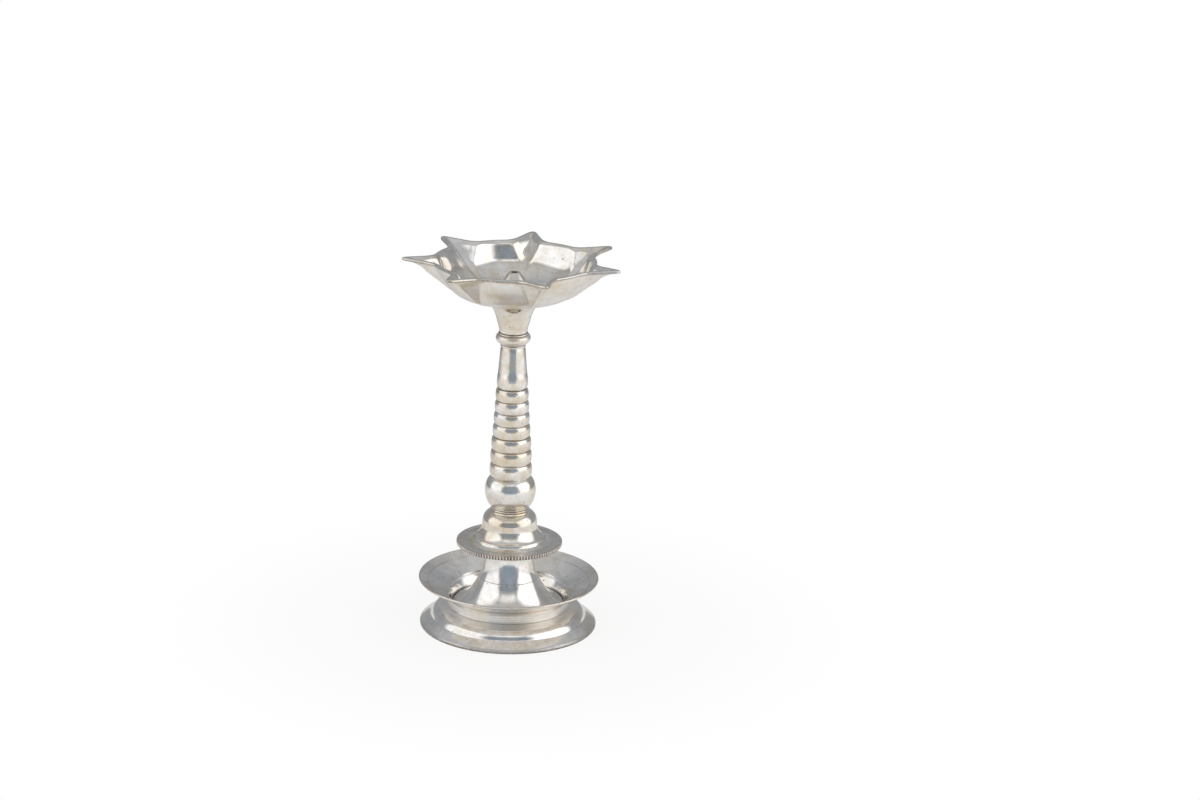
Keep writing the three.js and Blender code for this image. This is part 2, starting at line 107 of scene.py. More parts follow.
def silverPlate(name, tarnish, roughness, waveDeep, lineDeep, pitted=0.7, mottled=1.0):
    look = silverLook
    material, tree = newMaterial(name)
    metres = addNode(tree, "TexCoord", {}).outputs["Object"]
    place = addNode(tree, "VectorMath", {0: metres, "Scale": 1 / mm}, operation="SCALE")
    split = addNode(tree, "SeparateXYZ", {0: place})
    flat = addNode(tree, "CombineXYZ", {"X": split.outputs["X"], "Y": split.outputs["Y"]})
    radius = addNode(tree, "VectorMath", {0: flat}, operation="LENGTH")
    lathe = addNode(tree, "CombineXYZ", {"X": radius, "Z": split.outputs["Z"]})
    wearMark = addNode(tree, "Attribute", {}, attribute_name="wear").outputs["Fac"]
    grimeMark = addNode(tree, "Attribute", {}, attribute_name="grime").outputs["Fac"]

    # tone: large patches broken up by a finer mottle
    patches = addNode(tree, "TexNoise", {
        "Vector": place, "Scale": 1 / look["patchAcross"], "Detail": 3, "Roughness": 0.6, "Distortion": 0.6})
    mottle = addNode(tree, "TexNoise", {
        "Vector": place, "Scale": 1 / look["mottleAcross"], "Detail": 4, "Roughness": 0.65,
        "Distortion": 0.4})
    broken = addNode(tree, "Mix", {0: look["mottleShare"], 2: patches, 3: mottle})
    straw = addNode(tree, "MapRange", {
        "Value": broken, "From Min": 0.44, "From Max": 0.66, "To Max": tarnish})
    dull = addNode(tree, "MapRange", {
        "Value": mottle, "From Min": 0.38, "From Max": 0.66, "To Max": look["greyShare"] * mottled})
    colour = addNode(tree, "Mix", {
        0: dull, 6: toLinear(look["silver"]), 7: toLinear(look["grey"])}, data_type="RGBA")
    colour = addNode(tree, "Mix", {0: straw, 6: colour, 7: toLinear(look["tarnish"])}, data_type="RGBA")

    # edges rubbed through to the brass, and dark polish held in corners and pits
    crumble = addNode(tree, "TexNoise", {
        "Vector": place, "Scale": look["crumblesPerMm"], "Detail": 3, "Roughness": 0.7})
    rubbedHere = addNode(tree, "MapRange", {
        "Value": crumble, "From Min": 0.35, "From Max": 0.62, "To Min": 0.2})
    rubbed = addNode(tree, "Math", {0: wearMark, 1: rubbedHere}, operation="MULTIPLY")
    heldHere = addNode(tree, "MapRange", {
        "Value": crumble, "From Min": 0.32, "From Max": 0.58, "To Min": 0.35})
    held = addNode(tree, "Math", {0: grimeMark, 1: heldHere}, operation="MULTIPLY")
    pits = addNode(tree, "TexNoise", {"Vector": place, "Scale": look["pitsPerMm"], "Detail": 1})
    specks = addNode(tree, "MapRange", {"Value": pits, "From Min": 0.725, "From Max": 0.75, "To Max": pitted})
    dirt = addNode(tree, "Math", {0: held, 1: specks}, operation="MAXIMUM")
    colour = addNode(tree, "Mix", {0: rubbed, 6: colour, 7: toLinear(look["brass"])}, data_type="RGBA")
    colour = addNode(tree, "Mix", {0: dirt, 6: colour, 7: toLinear(look["residue"])}, data_type="RGBA")

    # hairlines laid across in two directions
    scratches = None
    for turn in look["scratchTurns"]:
        across, along = 1 / look["scratchAcross"], 1 / look["scratchLong"]
        laid = addNode(tree, "Mapping", {
            "Vector": place, "Rotation": (0.3, 0.5, turn), "Scale": (across, along, 0.4)})
        lines = addNode(tree, "TexNoise", {"Vector": laid, "Scale": 1, "Detail": 2, "Distortion": 0.2})
        lines = addNode(tree, "MapRange", {"Value": lines, "From Min": 0.62, "From Max": 0.72})
        scratches = addNode(tree, "Math", {0: lines, 1: scratches or 0.0}, operation="MAXIMUM")

    spread = addNode(tree, "MapRange", {
        "Value": mottle, "From Min": 0.35, "From Max": 0.7, "To Min": (1 - 0.25 * mottled) * roughness,
        "To Max": (1 + 0.7 * mottled) * roughness})
    for mark, amount in ((scratches, "scratchRough"), (dirt, "dirtRough"), (rubbed, "brassRough")):
        spread = addNode(tree, "Math", {0: mark, 1: look[amount], 2: spread}, operation="MULTIPLY_ADD")

    waves = addNode(tree, "TexNoise", {
        "Vector": place, "Scale": 1 / look["waveAcross"], "Detail": 1, "Roughness": 0.4})
    turned = addNode(tree, "TexNoise", {
        "Vector": lathe, "Scale": 1 / look["turnedLine"], "Detail": 2, "Roughness": 0.6})
    normal = addNode(tree, "Bump", {"Height": waves, "Distance": waveDeep * mm, "Strength": 1.0})
    for height, deep in ((turned, lineDeep), (scratches, look["scratchDeep"])):
        normal = addNode(tree, "Bump", {
            "Height": height, "Distance": deep * mm, "Strength": 1.0, "Normal": normal})

    metal = addNode(tree, "Math", {0: dirt, 1: -0.8, 2: 1.0}, operation="MULTIPLY_ADD")
    shader = addNode(tree, "BsdfPrincipled", {
        "Base Color": colour, "Metallic": metal, "Roughness": spread, "Normal": normal})
    addNode(tree, "OutputMaterial", {"Surface": shader})
    return material


# Plain finishes for the pieces inside and under the lamp. The grain is in millimetres.
def plainFinish(name, light, dark, metallic, roughness, grain):
    material, tree = newMaterial(name)
    metres = addNode(tree, "TexCoord", {}).outputs["Object"]
    place = addNode(tree, "VectorMath", {0: metres, "Scale": 1 / mm}, operation="SCALE")
    tone = addNode(tree, "TexNoise", {"Vector": place, "Scale": 1 / grain, "Detail": 4, "Roughness": 0.6})
    share = addNode(tree, "MapRange", {"Value": tone, "From Min": 0.35, "From Max": 0.65})
    colour = addNode(tree, "Mix", {0: share, 6: toLinear(dark), 7: toLinear(light)}, data_type="RGBA")
    spread = addNode(tree, "MapRange", {
        "Value": tone, "From Min": 0.3, "From Max": 0.7, "To Min": 0.8 * roughness,
        "To Max": 1.25 * roughness})
    normal = addNode(tree, "Bump", {"Height": tone, "Distance": 0.02 * mm, "Strength": 0.6})
    shader = addNode(tree, "BsdfPrincipled", {
        "Base Color": colour, "Metallic": metallic, "Roughness": spread, "Normal": normal})
    addNode(tree, "OutputMaterial", {"Surface": shader})
    return material


# Plated sheet spun over a form: a bright, slightly wavy mirror with very fine lines round it.
spunSilver = silverPlate("spunSilverPlate", tarnish=0.35, roughness=0.1, waveDeep=0.03, lineDeep=0.0014)
# Plated brass turned on a lathe: warmer and a little softer, as its grooves are hard to polish.
turnedSilver = silverPlate(
    "turnedSilverPlate", tarnish=0.85, roughness=0.14, waveDeep=0.012, lineDeep=0.001, pitted=0.4)
# Plated casting, the bowl's inside: the sharpest mirror, wavy, with no turned lines.
castSilver = silverPlate("castSilverPlate", tarnish=0.6, roughness=0.065, waveDeep=0.03, lineDeep=0.0)
# Plate rubbed by hands and cloths, the bowl's outside and the collar: smooth, warm and blurred.
rubbedSilver = silverPlate(
    "rubbedSilverPlate", tarnish=0.7, roughness=0.34, waveDeep=0.02, lineDeep=0.001, pitted=0.2, mottled=0.15)
# Plate wiped round and round, the neck under the tray: satin, with the cloth's lines.
satinSilver = silverPlate(
    "satinSilverPlate", tarnish=0.3, roughness=0.3, waveDeep=0.01, lineDeep=0.003, pitted=0.3, mottled=0.3)
# Plated disc with a milled edge: a plain mirror between deeper turned lines.
milledSilver = silverPlate(
    "milledSilverPlate", tarnish=0.3, roughness=0.14, waveDeep=0.01, lineDeep=0.006, pitted=0.5)
# Bare brass sheet, rolled and dulled by handling: a soft yellow-brown sheen.
wornBrass = plainFinish("wornBrassSheet", "#cbb68c", "#8f7648", metallic=1.0, roughness=0.32, grain=3)
# Steel, machined and lightly oiled: a grey sheen.
brightSteel = plainFinish("turnedSteel", "#b4b4b0", "#7d7b76", metallic=1.0, roughness=0.34, grain=1.2)
# Pressed cork, dark with oil: matt brown grains.
darkGasket = plainFinish("pressedCork", "#6a5844", "#33291f", metallic=0.0, roughness=0.85, grain=0.8)
print("stage: materials made")


# A smooth line through points of any length, sampled every step along its first two numbers.
def smoothLine(points, step):
    if len(points) == 2:
        return [tuple(p) for p in points]
    size = len(points[0])
    lengths = [max(1e-6, math.dist(a[:2], b[:2])) for a, b in zip(points, points[1:])]
    slopes = []
    for a, b, length in zip(points, points[1:], lengths):
        slopes.append([(b[k] - a[k]) / length for k in range(size)])
    tangents = [slopes[0]]
    for i in range(1, len(points) - 1):
        before, after = lengths[i - 1], lengths[i]
        tangents.append([
            (slopes[i - 1][k] * after + slopes[i][k] * before) / (before + after) for k in range(size)])
    tangents.append(slopes[-1])
    line = [tuple(points[0])]
    for i, length in enumerate(lengths):
        count = max(2, math.ceil(length / step))
        for n in range(1, count + 1):
            t = n / count
            near, far = 1 - 3 * t * t + 2 * t ** 3, 3 * t * t - 2 * t ** 3
            leave, arrive = (t - 2 * t * t + t ** 3) * length, (t ** 3 - t * t) * length
            line.append(tuple(near * a + far * b + leave * m + arrive * q for a, b, m, q in zip(
                points[i], points[i + 1], tangents[i], tangents[i + 1])))
    return line


# The point of a closed line that lies a given way along it from point n.
def alongLine(line, n, distance, way):
    while True:
        here, after = line[n % len(line)], line[(n + way) % len(line)]
        length = math.dist(here, after)
        if length >= distance:
            share = distance / length
            return mix(here[0], after[0], share), mix(here[1], after[1], share)
        distance -= length
        n += way


# Where an outline counts as worn or grimy. Turns are in radians and ways along it in millimetres.
outlineMarks = {
    "window": 0.5,            # how far to each side of a point its turn is measured
    "edgeTurn": (0.7, 1.5),   # edges from the gentlest that wears to one that is fully worn
    "cornerTurn": (0.5, 1.4),
    "cornerGrime": 0.3,
    "jointReach": 0.6,        # how far from a joint nothing is rubbed
    "wearReach": 0.3,
    "grimeReach": 0.4,
}


# How far the line turns at a point: above 0 on a crest, below 0 in a corner.
def turnAt(line, n, side):
    window = outlineMarks["window"]
    before, here, after = alongLine(line, n, window, -1), line[n], alongLine(line, n, window, 1)
    a = (here[0] - before[0], here[1] - before[1])
    b = (after[0] - here[0], after[1] - here[1])
    return side * math.atan2(a[0] * b[1] - a[1] * b[0], a[0] * b[0] + a[1] * b[1])


# How rubbed and how grimy each point of an outline is, fading over a short way along it.
# A joint has its own grime, and nothing rubs it.
def markOutline(line, joints, side):
    look = outlineMarks
    turns = [turnAt(line, n, side) for n in range(len(line))]
    wear = [ramp(turn, *look["edgeTurn"]) for turn in turns]
    corners = [look["cornerGrime"] * ramp(-turn, *look["cornerTurn"]) for turn in turns]
    grime = [joints.get(n, corner) for n, corner in enumerate(corners)]
    marks = []
    for n in range(len(line)):
        rubbed, held, joined = wear[n], grime[n], n in joints
        for way in (-1, 1):
            travel, m = 0.0, n
            while travel < look["jointReach"]:
                here, m = m, (m + way) % len(line)
                travel += math.dist(line[here], line[m])
                joined = joined or (m in joints and travel < look["jointReach"])
                rubbed = max(rubbed, wear[m] * (1 - travel / look["wearReach"]))
                held = max(held, grime[m] * (1 - travel / look["grimeReach"]))
        marks.append((0.0 if joined else rubbed * (1 - held), held))
    return marks


# How outlines become meshes, in millimetres.
meshing = {
    "longFace": 2.0,          # a straight face longer than this is held flat near its ends
    "heldFor": 0.4,
    "bevelSegments": 3,
    "mergeWithin": 0.0005,
}


# An outline is a closed list of (radius, height) in millimetres, bottom outside first and anticlockwise.
# A third number makes the point a corner, rounded by that much, and a fourth one says how grimy its joint is.
def makeOutline(bm, outline, step):
    corners = [i for i, p in enumerate(outline) if len(p) > 2]
    line, sharp, joints = [], {}, {}
    for n, start in enumerate(corners):
        end = corners[(n + 1) % len(corners)]
        run = outline[start:end + 1] if end > start else outline[start:] + outline[:end + 1]
        sharp[len(line)] = outline[start][2]
        if len(outline[start]) > 3:
            joints[len(line)] = outline[start][3]
        run = [p[:2] for p in run]
        if len(run) == 2 and math.dist(*run) > meshing["longFace"]:
            share = meshing["heldFor"] / math.dist(*run)
            a, b = run
            line += [a, (mix(a[0], b[0], share), mix(a[1], b[1], share)),
                     (mix(b[0], a[0], share), mix(b[1], a[1], share))]
        else:
            line += smoothLine(run, step)[:-1]
    area = sum(a[0] * b[1] - b[0] * a[1] for a, b in zip(line, line[1:] + line[:1]))
    wear, grime = [bm.verts.layers.float.new(name) for name in ("wear", "grime")]
    marks = markOutline(line, joints, 1 if area > 0 else -1)
    verts = []
    for i, (radius, height) in enumerate(line):
        vert = bm.verts.new((radius * mm, 0, height * mm))
        vert[wear], vert[grime] = marks[i]
        verts.append(vert)
    for a, b in zip(verts, verts[1:] + verts[:1]):
        bm.edges.new((a, b))
    for size in sorted(set(sharp.values())):
        if size > 0:
            bmesh.ops.bevel(bm, geom=[verts[i] for i in sharp if sharp[i] == size], offset=size * mm,
                            segments=meshing["bevelSegments"], profile=0.5, affect="VERTICES", material=-1)


def spinOutline(bm, steps):
    bmesh.ops.spin(bm, geom=bm.verts[:] + bm.edges[:], cent=(0, 0, 0), axis=(0, 0, 1), angle=2 * math.pi,
                   steps=steps, use_merge=True)


def closePiece(bm):
    bmesh.ops.remove_doubles(bm, verts=bm.verts, dist=meshing["mergeWithin"] * mm)
    bmesh.ops.recalc_face_normals(bm, faces=bm.faces)


def makePiece(bm, name, body, nodes, material):
    for face in bm.faces:
        face.smooth = True
    mesh = bpy.data.meshes.new(name)
    bm.to_mesh(mesh)
    bm.free()
    mesh.materials.append(material)
    piece = bpy.data.objects.new(name, mesh)
    bpy.context.scene.collection.objects.link(piece)
    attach(piece, body)
    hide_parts(*nodes)
    return piece


# A turned piece, with its number of steps round the axis and the way in millimetres between points.
def turnPiece(name, body, node, outline, material=turnedSilver, steps=144, step=0.45):
    bm = bmesh.new()
    makeOutline(bm, outline, step)
    spinOutline(bm, steps)
    closePiece(bm)
    return makePiece(bm, name, body, [node], material)


bore = 3.4  # the hole for the rod, the same in every stem piece

neckRubbing = {
    "inside": 29.9,           # radius and heights between which the neck is satin
    "low": 8.5,
    "high": 16.5,
}


# The neck under the tray is rubbed satin by cloths, out to the widest radius given.
def rubNeck(piece, widest):
    look = neckRubbing
    piece.data.materials.append(satinSilver)
    for face in piece.data.polygons:
        out = math.hypot(face.center.x, face.center.y) / mm
        if look["inside"] < out < widest and look["low"] * mm < face.center.z < look["high"] * mm:
            face.material_index = 1


footShape = {
    "edge": 44.0,
    "neck": 30.1,
    "deckTop": 10.0,
    "deckUnder": 8.1,
    "inside": 42.8,
    "rubbedTo": 35.0,
    "steps": 168,
    "rim": [(43.35, 1.75, 0.2, 0.3), (42.0, 2.7), (40.6, 3.6), (39.5, 4.3)],
    "dome": [(38.75, 4.85, 0.3), (38.4, 5.6), (37.88, 6.6), (37.18, 7.5), (36.2, 8.2), (34.95, 8.7)],
    "waist": [(33.1, 9.05), (31.9, 9.2), (30.95, 9.45), (30.35, 9.8)],
    "under": [(33.6, 7.2), (35.9, 5.4), (38.6, 3.4), (41.2, 1.7)],
}


def makeFoot():
    f = footShape
    outline = [
        (f["edge"] - 0.25, 0.0, 0.1, 1.0), (f["edge"], 0.25, 0.12, 1.0), (f["edge"] + 0.05, 1.05, 0.12, 0.6)]
    outline += f["rim"] + f["dome"] + f["waist"]
    outline += [
        (f["neck"], f["deckTop"], 0, 0), (bore, f["deckTop"], 0.1), (bore, f["deckUnder"], 0.1),
        (28.9, f["deckUnder"], 0.3)] + f["under"]
    outline += [(f["inside"], 1.0, 0.2), (f["inside"], 0.0, 0.1)]
    foot = turnPiece("footSkirt", "base", "foot_skirt", outline, spunSilver, f["steps"])
    rubNeck(foot, f["rubbedTo"])


trayShape = {
    "well": 30.1,
    "wellBottom": 10.0,
    "bands": (11.3, 12.3, 13.3),  # turned lines round the outside of the well
    "bandHalf": 0.16,
    "bandDeep": 0.12,
    "under": [(30.45, 15.1), (31.2, 16.1), (32.6, 17.0), (36.2, 18.9), (40.6, 21.3), (44.55, 23.65, 0.1)],
    "rim": 44.9,
    "rimTop": 24.8,
    "brimTop": 23.35,
    "ringAt": 40.4,           # the engraved ring inside the brim
    "ringHalf": 0.22,
    "inside": [(38.6, 21.4), (35.4, 19.7), (32.7, 18.2), (31.0, 16.9), (29.7, 15.2), (28.7, 13.4),
               (28.0, 11.9)],
    "floorTop": 11.0,
    "rubbedTo": 31.5,
    "steps": 168,
}


def makeTray():
    t = trayShape
    well, rim, ringAt, half = t["well"], t["rim"], t["ringAt"], t["bandHalf"]
    outline = [(bore, t["wellBottom"], 0.1), (well, t["wellBottom"], 0, 0.1)]
    for height in t["bands"]:
        outline += [
            (well, height - half, 0.04), (well - t["bandDeep"], height, 0.03), (well, height + half, 0.04)]
    outline += [(well, 14.1, 0.3)] + t["under"]
    outline += [(rim - 0.02, 24.0), (rim, 24.4), (rim - 0.2, 24.7), (rim - 0.5, t["rimTop"], 0.06)]
    outline += [
        (42.0, t["brimTop"]), (ringAt + t["ringHalf"], 22.42, 0.04), (ringAt, 22.2, 0.03, 0.35),
        (ringAt - t["ringHalf"], 22.2, 0.04)] + t["inside"]
    outline += [(27.8, t["floorTop"], 0.2, 1.0), (bore, t["floorTop"], 0.1)]
    tray = turnPiece("dripTray", "base", "drip_tray", outline, spunSilver, t["steps"])
    rubNeck(tray, t["rubbedTo"])


bellShape = {
    "foot": 27.2,
    "floor": 11.0,
    "seam": 25.0,
    "seamRadius": 14.8,
    "top": 41.6,
    "topUnder": 40.4,
    "flareOutside": [(26.0, 12.05), (24.4, 12.8), (21.6, 14.9), (19.3, 17.4), (17.4, 20.0), (16.0, 22.4)],
    "flareInside": [(14.6, 21.9), (16.2, 19.3), (18.3, 16.6), (20.8, 13.9), (23.6, 11.9)],
    "neckOutside": [(13.6, 27.8), (12.6, 31.4), (11.85, 35.6)],
    "neckInside": [(10.45, 35.4), (11.0, 31.4), (12.0, 27.5)],
}


def makeBell():
    b = bellShape
    seam = (b["seamRadius"], b["seam"], 0.14, 0.15)
    flare = [
        (b["foot"] - 1.8, b["floor"], 0.1), (b["foot"], b["floor"], 0.1, 0.9),
        (b["foot"] - 0.05, 11.5, 0.25, 0.3)]
    flare += b["flareOutside"] + [seam, (13.4, b["seam"], 0.1)] + b["flareInside"]
    turnPiece("bellFlare", "base", "bell_flare", flare, spunSilver)
    neck = [(13.3, b["seam"], 0.1), seam] + b["neckOutside"]
    neck += [
        (11.6, b["top"], 0.15), (bore, b["top"], 0.1), (bore, b["topUnder"], 0.1), (10.2, b["topUnder"], 0.2)]
    turnPiece("bellNeck", "base", "bell_neck", neck + b["neckInside"], spunSilver)


discShape = {
    "radius": 26.3,
    "bottom": 42.2,
    "top": 43.9,
    "recess": 6.2,
    "rimWidth": 0.2,
    "rimWear": 0.7,
    "teeth": 108,             # the real ones are 1.2 mm apart, drawn 1.5 mm apart so that they show
    "toothDepth": 0.6,
    "stepsPerTooth": 4,
    "crestMarks": (0.4, 0.0),  # how rubbed and how grimy a tooth's crest and the hollow beside it are
    "hollowMarks": (0.0, 1.0),
    "rings": (25.3, 24.4, 23.5, 22.6, 21.7),  # turned lines on the upper face
    "ringHalf": 0.25,
    "ringDeep": 0.17,
    "ringGrime": 0.65,
    "dishAt": 24.0,           # the rings lie in a shallow dish with this middle, half width and heights
    "dishHalf": 1.8,
    "dishHeights": (43.66, 43.82),
    "innerBand": [(20.8, 43.86, 0, 0.3), (20.2, 43.88, 0)],
    "flatStep": 2.0,
}


def makeDisc():
    d = discShape
    radius, bottom, top, rim = d["radius"], d["bottom"], d["top"], d["rimWidth"]
    outline = [
        (d["recess"], bottom, 0), (radius - rim, bottom, 0.05), (radius, bottom + rim, 0.06),
        (radius, top - rim, 0.06), (radius - 0.25, top, 0.05),
    ]
    for ring in d["rings"]:
        height = mix(*d["dishHeights"], abs(ring - d["dishAt"]) / d["dishHalf"])
        outline += [(ring + d["ringHalf"], height, 0, 0), (ring, height - d["ringDeep"], 0, d["ringGrime"]),
                    (ring - d["ringHalf"], height, 0, 0)]
    outline += d["innerBand"] + [(d["recess"], top, 0)]
    bm = bmesh.new()
    makeOutline(bm, outline, d["flatStep"])
    steps = d["teeth"] * d["stepsPerTooth"]
    spinOutline(bm, steps)
    closePiece(bm)
    edge = (radius - rim) * mm
    wear, grime = [bm.verts.layers.float[name] for name in ("wear", "grime")]
    hollow = []
    for vert in bm.verts:
        if vert.co.xy.length > edge - 0.5 * rim * mm:
            vert[wear] = d["rimWear"]
        if vert.co.xy.length > edge:
            step = round(math.atan2(vert.co.y, vert.co.x) / (2 * math.pi) * steps) % d["stepsPerTooth"]
            sunk = step >= d["stepsPerTooth"] // 2
            vert[wear], vert[grime] = d["hollowMarks"] if sunk else d["crestMarks"]
            if sunk:
                hollow.append(vert)
    squeeze = 1 - d["toothDepth"] / radius
    bmesh.ops.scale(bm, vec=(squeeze, squeeze, 1), verts=hollow)
    makePiece(bm, "milledDisc", "stem", ["milled_disc"], milledSilver)


cupShape = {
    "foot": 20.6,
    "bottom": 43.9,
    "top": 60.2,
    "neck": 9.4,
    "recess": 6.2,
    "recessTop": 47.6,
    "flare": [(19.6, 44.15), (18.6, 44.5), (17.9, 45.0), (17.55, 45.6), (17.45, 46.1, 0.15, 0),
              (17.2, 46.35, 0.1, 0.15)],
    "body": [(16.6, 46.7), (15.7, 47.55), (14.95, 48.6), (14.3, 49.8), (13.9, 50.7), (13.68, 51.6),
             (13.6, 53.0)],
    "shoulder": [(13.58, 54.6), (13.35, 55.6), (12.9, 56.8), (12.1, 57.9), (11.1, 58.8),
                 (10.3, 59.25, 0.12, 0.2)],
    "lip": [(10.0, 59.4, 0.1), (9.7, 59.85)],
}


def makeCup():
    c = cupShape
    outline = [(c["recess"], c["bottom"], 0.1), (c["foot"], c["bottom"], 0.05, 0.35)]
    outline += c["flare"] + c["body"] + c["shoulder"] + c["lip"]
    outline += [
        (c["neck"], c["top"], 0.08, 0.9), (bore, c["top"], 0.1), (bore, c["recessTop"], 0.1),
        (c["recess"], c["recessTop"], 0.1)]
    turnPiece("steppedCup", "stem", "stepped_cup", outline)


neckRingShape = {
    "bottom": 60.2,
    "top": 62.3,
    "outside": [(9.3, 60.2, 0.06, 1.0), (9.6, 60.5), (9.66, 60.8), (9.45, 61.1), (9.1, 61.3, 0.06, 0.9),
                (9.35, 61.55), (9.5, 61.85), (9.4, 62.15), (9.25, 62.3, 0.05, 0.9)],
    "fineStep": 0.15,
}


def makeNeckRing():
    r = neckRingShape
    outline = [(bore, r["bottom"], 0.1)] + r["outside"] + [(bore, r["top"], 0.1)]
    turnPiece("neckRing", "stem", "neck_ring", outline, step=r["fineStep"])


# The stem's other pieces, from the ball up. A ring has its bottom, its top, its groove and its crown.
stemShape = {
    "ball": [(9.7, 62.3, 0.08, 0.9), (10.5, 63.1), (11.3, 64.5), (12.05, 66.6), (12.45, 68.5), (12.6, 70.3),
             (12.5, 72.0), (12.1, 73.8), (11.4, 75.5), (10.3, 76.9)],
    "lowerRings": [(77.4, 84.5, 9.4, 10.5), (84.5, 91.4, 9.1, 10.2), (91.4, 98.0, 8.8, 9.85)],
    "upperRings": [(98.0, 104.5, 8.3, 9.3), (104.5, 110.6, 7.9, 8.85), (110.6, 116.6, 7.5, 8.4),
                   (116.6, 122.8, 7.1, 8.1)],
    "grooveGrime": 0.28,
    "jointGrime": 0.6,        # in the groove at the joint between the two rows of rings
    "ringPoints": 9,
    "taper": [(6.7, 122.8, 0.08, 1.0), (7.15, 123.35), (7.45, 124.3), (7.6, 125.8), (7.5, 128.2),
              (7.1, 131.2), (6.8, 134.5), (6.45, 139.0), (6.1, 143.0), (5.95, 144.2, 0.1), (6.2, 144.5),
              (6.2, 144.9), (6.1, 145.2, 0.05, 1.0)],
    "collar": [(6.0, 145.2, 0.05, 1.0), (6.5, 145.4), (6.75, 145.75, 0.06, 0.6), (7.4, 146.3), (8.15, 147.2),
               (8.5, 148.4), (8.35, 149.4), (7.8, 150.1), (7.3, 150.35, 0.06, 0.9), (7.4, 150.6),
               (7.3, 150.95), (6.9, 151.2, 0.05, 1.0)],
    "collarStep": 0.2,
    "socket": [(6.7, 151.2, 0.08, 1.0), (7.1, 153.4), (8.0, 156.8), (8.8, 159.8), (9.6, 162.0), (10.8, 164.2),
               (12.2, 166.0), (12.8, 167.2, 0.15, 0.4)],
    "nutRecess": [(6.2, 167.2, 0.1), (6.2, 162.8, 0.1)],
    "joints": (62.3, 98.0, 122.8, 145.2, 151.2, 162.8),  # where the bore of one piece meets the next one's
}


# One rounded ring of the stem, from its lower groove to just under its upper one.
def ringLine(bottom, top, groove, crown, grime):
    height, points = top - bottom, stemShape["ringPoints"]
    line = [(groove, bottom, 0.07, grime)]
    for n in range(1, points):
        around = math.pi * n / points
        line.append((groove + (crown - groove) * math.sin(around) ** 0.85,
                     bottom + height * (0.5 - 0.5 * math.cos(around))))
    return line


def makeStem():
    s = stemShape
    boreAt = [(bore, height, 0.1) for height in s["joints"]]
    ball = [boreAt[0]] + s["ball"]
    for ring in s["lowerRings"]:
        ball += ringLine(*ring, s["grooveGrime"])
    ball += [(8.6, 98.0, 0.06, 1.0), boreAt[1]]
    turnPiece("ballSection", "stem", "ball_section", ball)
    rings = [boreAt[1]]
    for n, ring in enumerate(s["upperRings"]):
        rings += ringLine(*ring, s["jointGrime"] if n == 0 else s["grooveGrime"])
    rings += [(6.9, 122.8, 0.06, 1.0), boreAt[2]]
    turnPiece("ringSection", "stem", "ring_section", rings)
    turnPiece("taperedShaft", "stem", "tapered_shaft", [boreAt[2]] + s["taper"] + [boreAt[3]])
    collar = [boreAt[3]] + s["collar"] + [boreAt[4]]
    turnPiece("collarRing", "stem", "collar_ring", collar, rubbedSilver, step=s["collarStep"])
    socket = [boreAt[4]] + s["socket"] + s["nutRecess"] + [boreAt[5]]
    turnPiece("flaredSocket", "stem", "flared_socket", socket)


makeFoot()
makeTray()
makeBell()
print("stage: foot, tray and bell made")
makeDisc()
makeCup()
makeNeckRing()
makeStem()
print("stage: stem made")


# The bowl's rows hold wall radius and height, ridge radius and height, half the spout's angle,
# and how far the creases at the wall and at the nose are rounded.
bowlShape = {
    "spouts": 7,
    "firstSpout": 0.5069,     # its angle round the axis, in radians
    "outside": [
        (13.4, 167.8, 13.4, 167.8, 0.06, 0.3, 0.3),
        (20.0, 168.7, 20.0, 168.7, 0.06, 0.3, 0.3),
        (26.2, 170.2, 26.5, 170.15, 0.06, 0.4, 0.3),
        (29.8, 172.4, 30.7, 172.2, 0.055, 0.5, 0.3),
        (33.4, 176.6, 36.3, 176.5, 0.10, 0.8, 0.45),
        (36.8, 181.2, 42.6, 181.4, 0.15, 1.4, 0.8),
        (38.5, 184.3, 46.9, 184.9, 0.184, 2.4, 2.4),
        (39.2, 185.8, 51.4, 186.7, 0.197, 3.6, 4.6),
        (39.5, 186.2, 53.9, 187.25, 0.202, 4.4, 6.2),
    ],
    "lip": [
        (39.85, 186.35, 54.5, 187.4, 0.203, 4.6, 6.6),   # its lower edge
        (39.9, 187.1, 54.58, 188.15, 0.203, 4.7, 6.6),
        (39.6, 187.4, 54.2, 188.5, 0.202, 4.7, 6.4),     # the flat top, out to in
        (38.3, 187.4, 51.6, 188.5, 0.178, 4.1, 3.4),
        (37.9, 187.2, 50.6, 188.25, 0.172, 3.9, 2.6),
        (37.1, 186.3, 48.6, 187.3, 0.163, 3.2, 1.6),     # the foot of its inner slope
    ],
    "inside": [
        (36.85, 185.8, 47.5, 186.7, 0.161, 2.8, 0.9),
        (36.3, 184.4, 45.2, 185.2, 0.155, 2.0, 0.6),
        (34.85, 180.7, 39.7, 181.0, 0.12, 1.2, 0.45),
        (33.8, 178.2, 36.2, 178.3, 0.095, 1.0, 0.4),
        (32.5, 176.5, 34.0, 176.5, 0.08, 0.8, 0.35),
        (29.6, 174.4, 30.0, 174.35, 0.05, 0.5, 0.3),
        (25.6, 172.2, 25.8, 172.2, 0.06, 0.3, 0.3),
        (20.0, 170.7, 20.0, 170.7, 0.06, 0.3, 0.3),
        (13.6, 169.6, 13.6, 169.6, 0.06, 0.3, 0.3),
    ],
    "underside": 167.8,
    "floor": 169.6,
    "rowStep": 0.8,
    "columns": {"nose": 6, "facet": 7, "kink": 6, "wall": 8},  # columns on half a spout's share of the bowl
}

